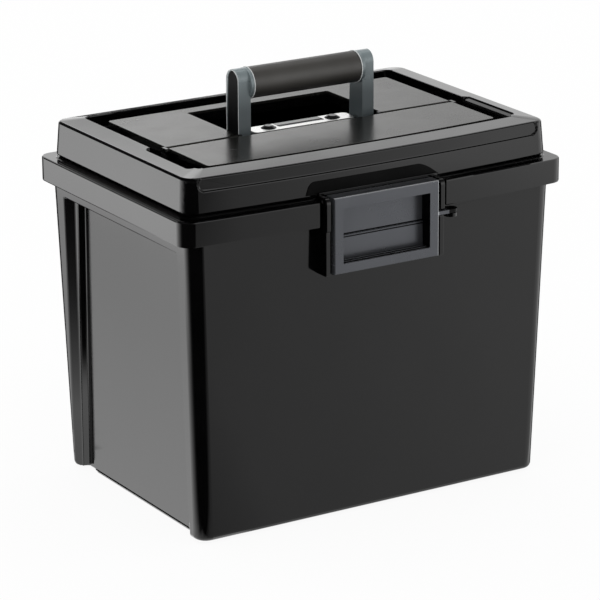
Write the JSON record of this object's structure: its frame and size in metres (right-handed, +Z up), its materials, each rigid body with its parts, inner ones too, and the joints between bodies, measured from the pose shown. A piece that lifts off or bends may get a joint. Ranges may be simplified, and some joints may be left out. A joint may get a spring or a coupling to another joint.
{
  "type": "portable file box",
  "caption": "Upright box for hanging files with side recesses, an organiser tray under split flaps in its hinged lid, a folding carry handle and a front latch.",
  "frame": {"origin": "centre of the footprint on the surface that the box stands on", "axes": "+X to the right seen from the latch, +Y from the latch to the lid hinge, +Z up"},
  "size_m": [0.368, 0.272, 0.3645],
  "materials": {
    "body": "glossy moulded plastic",
    "lid": "glossy moulded plastic",
    "flaps": "satin moulded plastic",
    "handle_arms": "satin moulded plastic",
    "inlays": "glossy",
    "grip": "satin",
    "grip_core": "as moulded",
    "steel": "plain steel",
    "black_screws": "blackened",
    "latch": "satin moulded plastic"
  },
  "bodies": {
    "container": {"tub": "body", "lid_hinge_pin_left": "steel", "lid_hinge_pin_right": "steel"},
    "lid": {"lid_shell": "lid", "front_flap_rod": "steel", "rear_flap_rod_left": "steel", "rear_flap_rod_right": "steel", "pivot_cover_strip": "steel", "cover_strip_screws": "black_screws", "latch_pin": "steel"},
    "front_flap": {"front_flap": "flaps"},
    "rear_flap": {"rear_flap": "flaps"},
    "handle": {"handle_arm_left": "handle_arms", "handle_arm_right": "handle_arms", "arm_inlay_left": "inlays", "arm_inlay_right": "inlays", "arm_screws": "steel", "pivot_pin_left": "steel", "pivot_pin_right": "steel", "grip_core": "grip_core", "grip_sleeve": "grip"},
    "latch": {"latch_cover": "latch"}
  },
  "joints": [
    {"name": "lid_hinge", "type": "hinge", "parent": "container", "child": "lid", "pos_m": [0, 0.1314, 0.284], "axis": [-1, 0, 0], "range_deg": [0, 100]},
    {"name": "front_flap_hinge", "type": "hinge", "parent": "lid", "child": "front_flap", "pos_m": [0, -0.0234, 0.3103], "axis": [-1, 0, 0], "range_deg": [0, 85]},
    {"name": "rear_flap_hinge", "type": "hinge", "parent": "lid", "child": "rear_flap", "pos_m": [0, -0.0176, 0.3103], "axis": [1, 0, 0], "range_deg": [0, 85]},
    {"name": "handle_pivot", "type": "hinge", "parent": "lid", "child": "handle", "pos_m": [0, -0.002, 0.3038], "axis": [-1, 0, 0], "range_deg": [0, 90]},
    {"name": "latch_pivot", "type": "hinge", "parent": "lid", "child": "latch", "pos_m": [0, -0.1275, 0.2795], "axis": [-1, 0, 0], "range_deg": [0, 90]}
  ]
}
